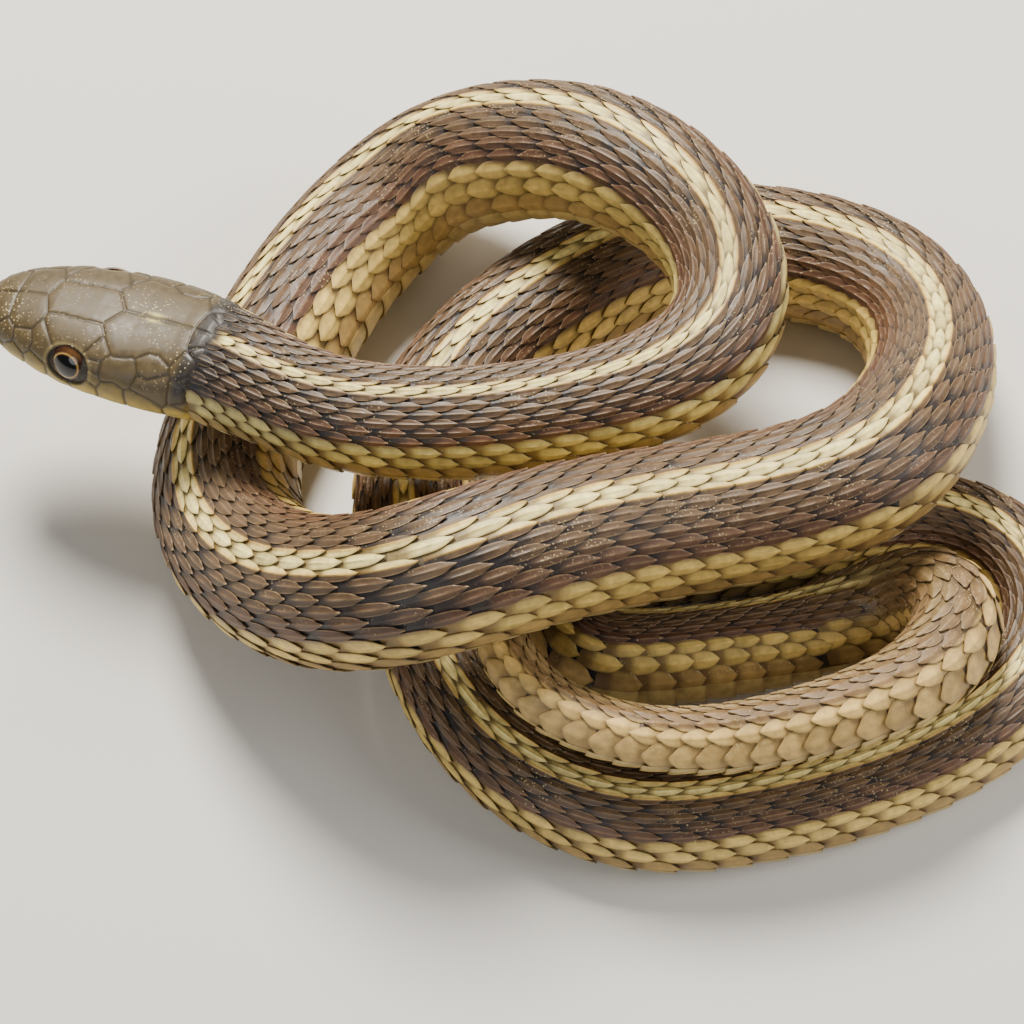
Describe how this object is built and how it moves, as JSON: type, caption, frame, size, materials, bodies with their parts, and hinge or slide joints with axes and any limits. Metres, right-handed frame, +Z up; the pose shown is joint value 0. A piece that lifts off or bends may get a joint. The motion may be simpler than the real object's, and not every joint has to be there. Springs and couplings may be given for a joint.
{
  "type": "garter snake model",
  "caption": "Still, life-size garter snake lying in a two-layer pile of smooth loops, head resting over its own body, with eyes, jaw, neck, trunk and tail as pieces.",
  "frame": {"origin": "centre of the bounding box's bottom face, on the floor", "axes": "+X away from the snout's side, so the head points to -X; +Y away from the viewer; +Z up"},
  "size_m": [0.1232, 0.0952, 0.0343],
  "materials": {
    "head_skin": "satin olive-brown head plates",
    "lip_skin": "satin yellow-olive lip and chin plates",
    "body_skin": "satin brown keeled scales with cream-yellow stripes over black skin",
    "tail_skin": "satin tan-brown keeled scales",
    "eye": "glossy dark eye with a round black pupil"
  },
  "bodies": {
    "root": {"head": "head_skin", "lower_jaw": "lip_skin", "eye_left": "eye", "eye_right": "eye", "neck": "body_skin", "trunk_1": "body_skin", "trunk_2": "body_skin", "trunk_3": "body_skin", "trunk_4": "body_skin", "trunk_5": "body_skin", "trunk_6": "body_skin", "trunk_7": "body_skin", "trunk_8": "body_skin", "trunk_9": "body_skin", "trunk_10": "body_skin", "trunk_11": "body_skin", "trunk_12": "body_skin", "tail_1": "tail_skin", "tail_2": "tail_skin", "tail_3": "tail_skin", "tail_4": "tail_skin"}
  },
  "joints": []
}
